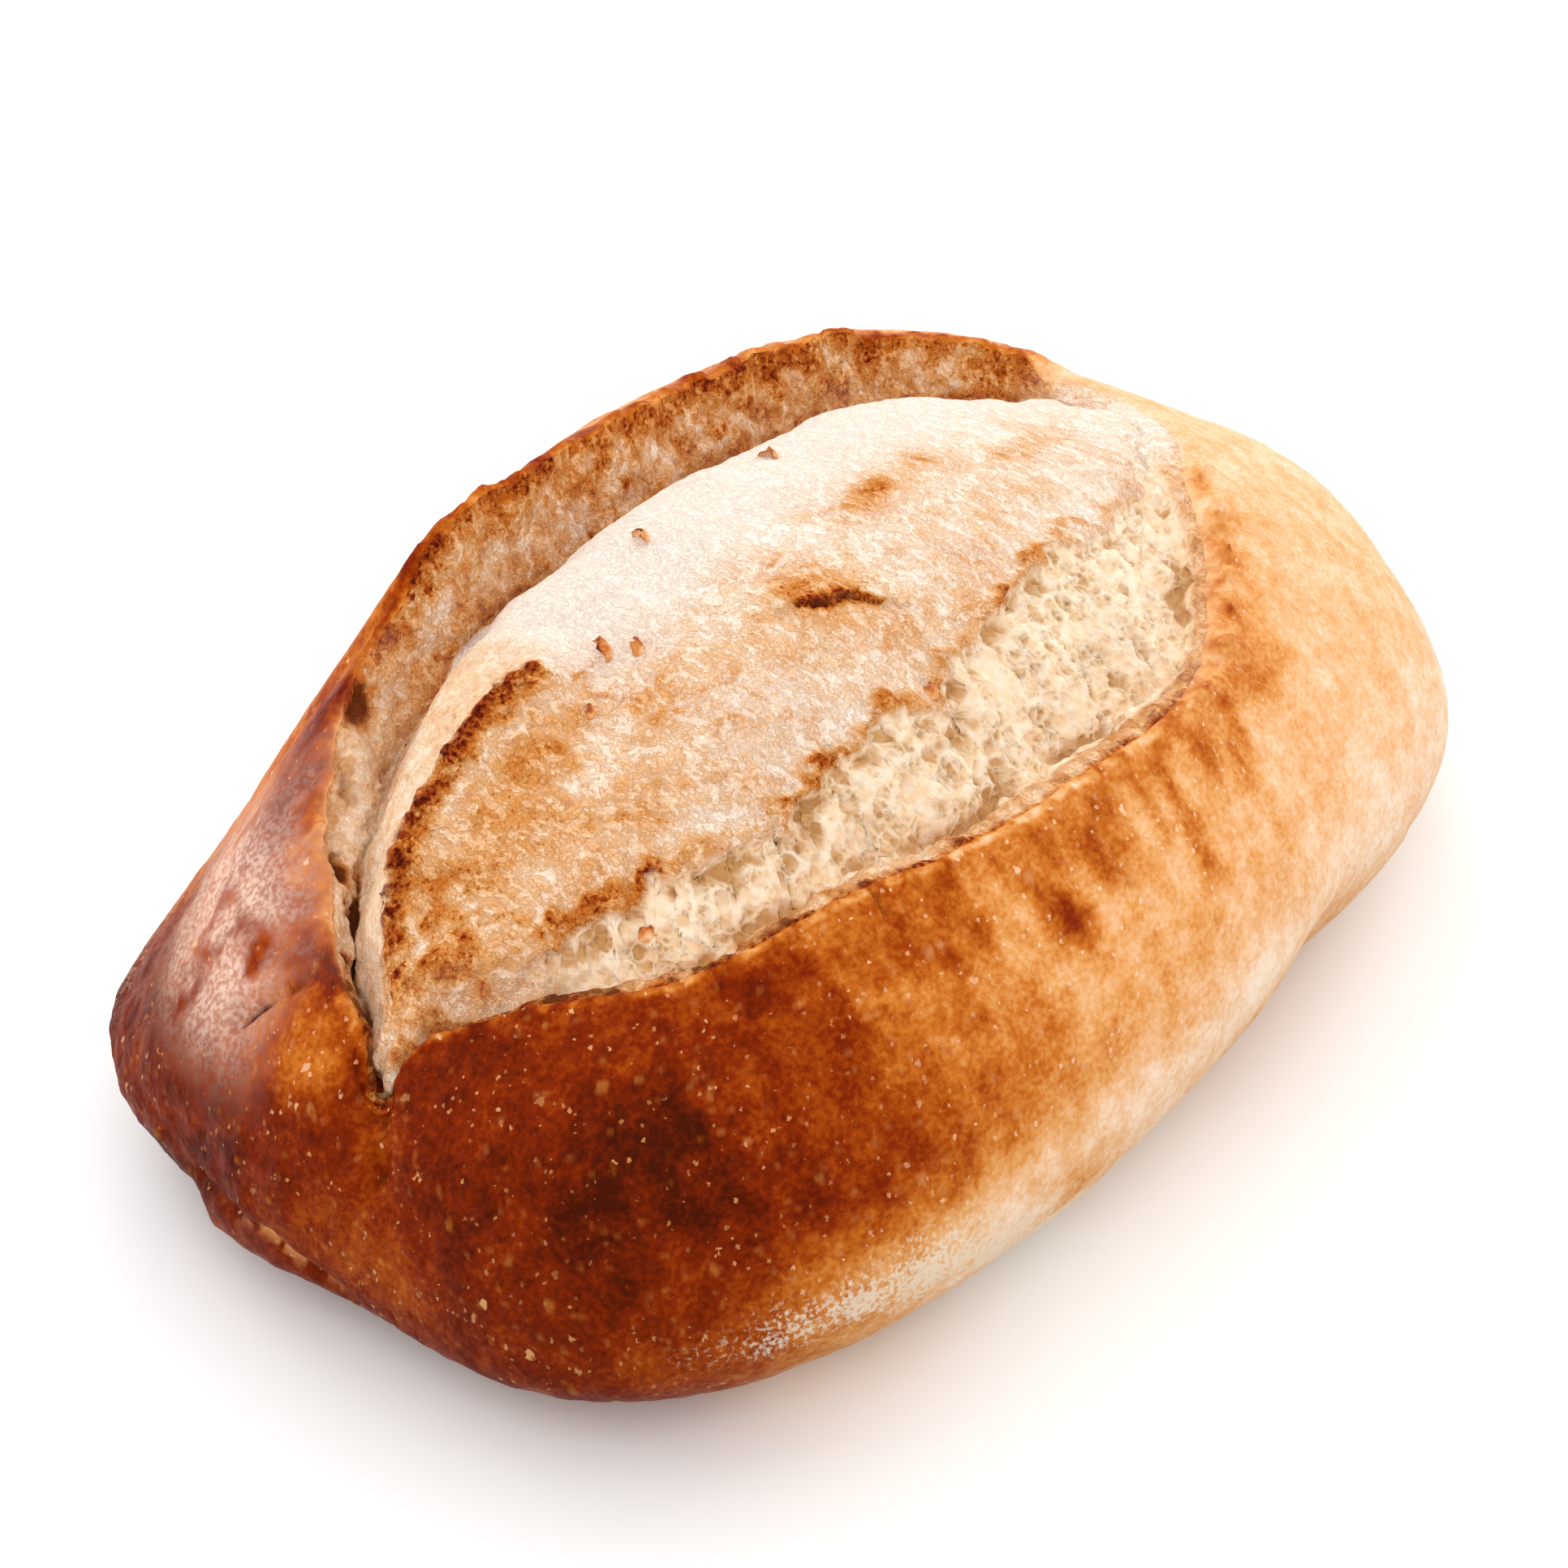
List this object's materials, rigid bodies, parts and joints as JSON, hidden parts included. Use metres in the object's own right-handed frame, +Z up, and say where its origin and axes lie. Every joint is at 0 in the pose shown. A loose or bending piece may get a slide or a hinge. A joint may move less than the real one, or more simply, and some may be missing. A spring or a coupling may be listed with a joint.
{
  "type": "bread loaf",
  "caption": "Crusty oval loaf slashed once along the top, with a raised ear of crust and a pale torn top, standing on its flat underside.",
  "frame": {"origin": "middle of the footprint, on the ground", "axes": "+X along the loaf away from the pointed end of the slash, +Y towards the side with the raised ear, +Z up"},
  "size_m": [0.2668, 0.177, 0.1004],
  "materials": {
    "browned_crust": "matt browned crust, paler and floury where the top tore open"
  },
  "bodies": {
    "root": {"loaf": "browned_crust"}
  },
  "joints": []
}
